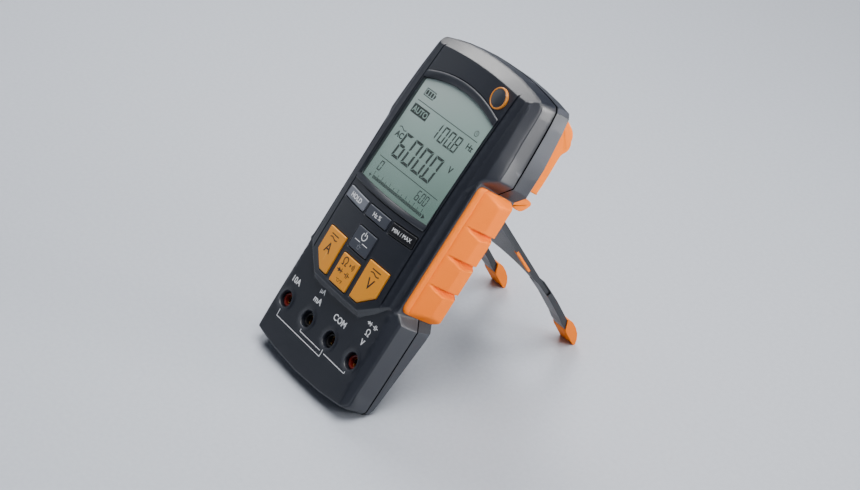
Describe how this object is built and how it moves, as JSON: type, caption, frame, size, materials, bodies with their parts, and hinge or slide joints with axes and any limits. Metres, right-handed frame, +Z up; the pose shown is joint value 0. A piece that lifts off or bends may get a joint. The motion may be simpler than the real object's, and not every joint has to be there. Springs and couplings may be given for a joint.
{
  "type": "handheld digital multimeter",
  "caption": "Handheld digital multimeter with a crowned case, rubber side grips, sprung function keys, recessed test sockets and a fold-out rear stand, shown standing.",
  "frame": {"origin": "on the bench top, at the centre of the footprint of the meter standing on its open stand", "axes": "+Z up from the bench, +X to the right of the display, -Y towards the reader; the body leans back from the vertical towards +Y"},
  "size_m": [0.085, 0.1354, 0.1426],
  "materials": {
    "shell_front": "fine moulded texture",
    "shell_rear": "fine moulded texture",
    "seal_black": "soft",
    "screw_steel": "zinc plated",
    "window_clear": "clear",
    "lcd_face": "grey-green display glass",
    "light_guide": "white diffuser",
    "carrier_black": "matt",
    "contact_strip": "layered elastomer",
    "badge_trim": "satin",
    "key_grey": "soft touch",
    "key_dark": "soft touch",
    "key_black": "soft touch",
    "key_amber": "satin",
    "silicone": "translucent silicone",
    "board_green": "solder mask",
    "chip_black": "moulded epoxy",
    "shunt_alloy": "bare alloy wire",
    "disc_blue": "epoxy dip",
    "liner_red": "moulded",
    "liner_black": "moulded",
    "contact_brass": "nickel-free turned brass",
    "fuse_body": "glazed ceramic with metal caps",
    "clip_tin": "tinned spring bronze",
    "cell_wrap": "printed sleeve, plain",
    "contact_nickel": "nickel plated",
    "cover_dark": "fine moulded texture",
    "gasket": "silicone",
    "grip_rubber": "soft overmoulding",
    "holder_rubber": "soft overmoulding",
    "stand_dark": "moulded",
    "foot_rubber": "soft overmoulding",
    "pin_steel": "ground rod"
  },
  "bodies": {
    "case": {"front_shell": "shell_front", "rear_shell": "shell_rear", "case_seal": "seal_black", "case_screws": "screw_steel", "display_window": "window_clear", "lcd_glass": "lcd_face", "lcd_backlight": "light_guide", "lcd_carrier": "carrier_black", "zebra_strips": "contact_strip", "header_badge": "badge_trim", "keypad_mat": "silicone", "main_pcb": "board_green", "pcb_screws": "screw_steel", "measuring_chip": "chip_black", "buzzer": "carrier_black", "current_shunt": "shunt_alloy", "input_thermistor": "disc_blue", "jack_liners_red": "liner_red", "jack_liners_black": "liner_black", "jack_contacts": "contact_brass", "fuse_10a": "fuse_body", "fuse_ma": "fuse_body", "fuse_clips": "clip_tin", "battery_cells": "cell_wrap", "battery_contacts": "contact_nickel", "battery_cover": "cover_dark", "battery_seal": "gasket", "battery_cover_screws": "screw_steel", "grip_left": "grip_rubber", "grip_right": "grip_rubber", "probe_holder_left": "holder_rubber", "probe_holder_right": "holder_rubber", "probe_hook_left": "holder_rubber", "probe_hook_right": "holder_rubber", "stand_hinge_pin": "pin_steel"},
    "stand": {"stand": "stand_dark", "stand_foot_left": "foot_rubber", "stand_foot_right": "foot_rubber", "stand_inlays": "foot_rubber"},
    "key_hold_body": {"key_hold": "key_grey"},
    "key_filter_body": {"key_filter": "key_dark"},
    "key_minmax_body": {"key_minmax": "key_black"},
    "key_power_body": {"key_power": "key_dark"},
    "key_amps_body": {"key_amps": "key_amber"},
    "key_ohms_body": {"key_ohms": "key_amber"},
    "key_volts_body": {"key_volts": "key_amber"}
  },
  "joints": [
    {"name": "stand_hinge", "type": "hinge", "parent": "case", "child": "stand", "pos_m": [0, 0.00959, 0.08611], "axis": [-1, 0, 0], "range_deg": [0, 68]},
    {"name": "key_hold_press", "type": "slide", "parent": "case", "child": "key_hold_body", "axis": [0, 0.8334, -0.5527], "range_m": [0, 0.0008], "stiffness_N_per_m": 1200},
    {"name": "key_filter_press", "type": "slide", "parent": "case", "child": "key_filter_body", "axis": [0, 0.8334, -0.5527], "range_m": [0, 0.0008], "stiffness_N_per_m": 1200},
    {"name": "key_minmax_press", "type": "slide", "parent": "case", "child": "key_minmax_body", "axis": [0, 0.8334, -0.5527], "range_m": [0, 0.0008], "stiffness_N_per_m": 1200},
    {"name": "key_power_press", "type": "slide", "parent": "case", "child": "key_power_body", "axis": [0, 0.8334, -0.5527], "range_m": [0, 0.0008], "stiffness_N_per_m": 1200},
    {"name": "key_amps_press", "type": "slide", "parent": "case", "child": "key_amps_body", "axis": [0, 0.8334, -0.5527], "range_m": [0, 0.0008], "stiffness_N_per_m": 1200},
    {"name": "key_ohms_press", "type": "slide", "parent": "case", "child": "key_ohms_body", "axis": [0, 0.8334, -0.5527], "range_m": [0, 0.0008], "stiffness_N_per_m": 1200},
    {"name": "key_volts_press", "type": "slide", "parent": "case", "child": "key_volts_body", "axis": [0, 0.8334, -0.5527], "range_m": [0, 0.0008], "stiffness_N_per_m": 1200}
  ]
}
